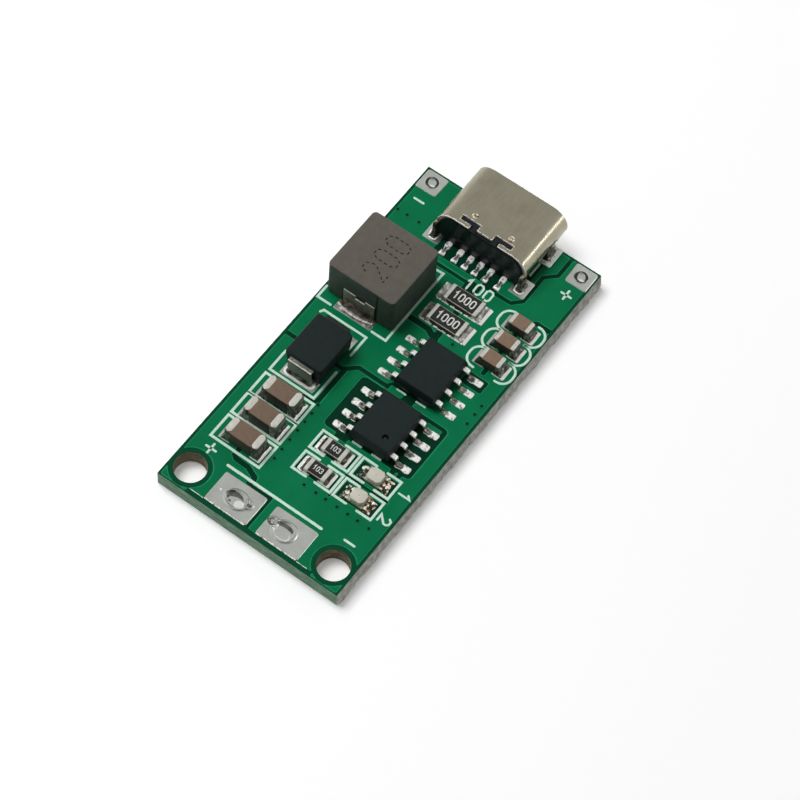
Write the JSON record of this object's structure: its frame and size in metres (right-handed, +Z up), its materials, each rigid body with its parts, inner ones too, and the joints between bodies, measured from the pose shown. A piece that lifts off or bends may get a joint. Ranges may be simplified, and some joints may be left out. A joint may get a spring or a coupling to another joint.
{
  "type": "lithium battery charger module",
  "caption": "Small rectangular circuit board that charges a lithium battery pack from a reversible power socket, with a moulded inductor, diode, chips and tinned wire pads.",
  "frame": {"origin": "under the middle of the whole module, on the board's underside", "axes": "+X across the board, +Y from the battery end to the socket end, +Z up out of the component side"},
  "size_m": [0.0176, 0.0378, 0.0057],
  "materials": {
    "green_board": "green solder mask, semi-gloss",
    "plated_shell": "warm nickel plate, satin",
    "black_plastic": "moulded, satin",
    "plated_contact": "thin gold plate",
    "iron_powder": "pressed powder, grey brown, matt",
    "black_epoxy": "moulded, fine spark texture",
    "tinned_metal": "tin plate, satin",
    "solder_tin": "levelled solder, satin",
    "capacitor_ceramic": "fired, semi-matt, with tinned ends",
    "resistor_glaze": "black glaze with tinned ends",
    "light_base": "pale laminate with plated ends",
    "light_lens": "cloudy cream epoxy"
  },
  "bodies": {
    "root": {"battery_pad_negative": "solder_tin", "battery_pad_positive": "solder_tin", "board": "green_board", "charger_chip_body": "black_epoxy", "charger_chip_lead_1": "tinned_metal", "charger_chip_lead_2": "tinned_metal", "charger_chip_lead_3": "tinned_metal", "charger_chip_lead_4": "tinned_metal", "charger_chip_lead_5": "tinned_metal", "charger_chip_lead_6": "tinned_metal", "charger_chip_lead_7": "tinned_metal", "charger_chip_lead_8": "tinned_metal", "diode_body": "black_epoxy", "diode_terminal_front": "tinned_metal", "diode_terminal_rear": "tinned_metal", "driver_chip_body": "black_epoxy", "driver_chip_lead_1": "tinned_metal", "driver_chip_lead_2": "tinned_metal", "driver_chip_lead_3": "tinned_metal", "driver_chip_lead_4": "tinned_metal", "driver_chip_lead_5": "tinned_metal", "driver_chip_lead_6": "tinned_metal", "driver_chip_lead_7": "tinned_metal", "driver_chip_lead_8": "tinned_metal", "inductor_core": "iron_powder", "inductor_terminal_front": "tinned_metal", "inductor_terminal_rear": "tinned_metal", "input_capacitor_1": "capacitor_ceramic", "input_capacitor_2": "capacitor_ceramic", "input_capacitor_3": "capacitor_ceramic", "input_pad_negative": "solder_tin", "input_pad_positive": "solder_tin", "light_1_base": "light_base", "light_1_lens": "light_lens", "light_2_base": "light_base", "light_2_lens": "light_lens", "light_resistor_1": "resistor_glaze", "light_resistor_2": "resistor_glaze", "output_capacitor_1": "capacitor_ceramic", "output_capacitor_2": "capacitor_ceramic", "output_capacitor_3": "capacitor_ceramic", "sense_resistor_1": "resistor_glaze", "sense_resistor_2": "resistor_glaze", "socket_contact_1": "plated_contact", "socket_contact_2": "plated_contact", "socket_contact_3": "plated_contact", "socket_contact_4": "plated_contact", "socket_contact_5": "plated_contact", "socket_contact_6": "plated_contact", "socket_housing": "black_plastic", "socket_shell": "plated_shell"}
  },
  "joints": []
}
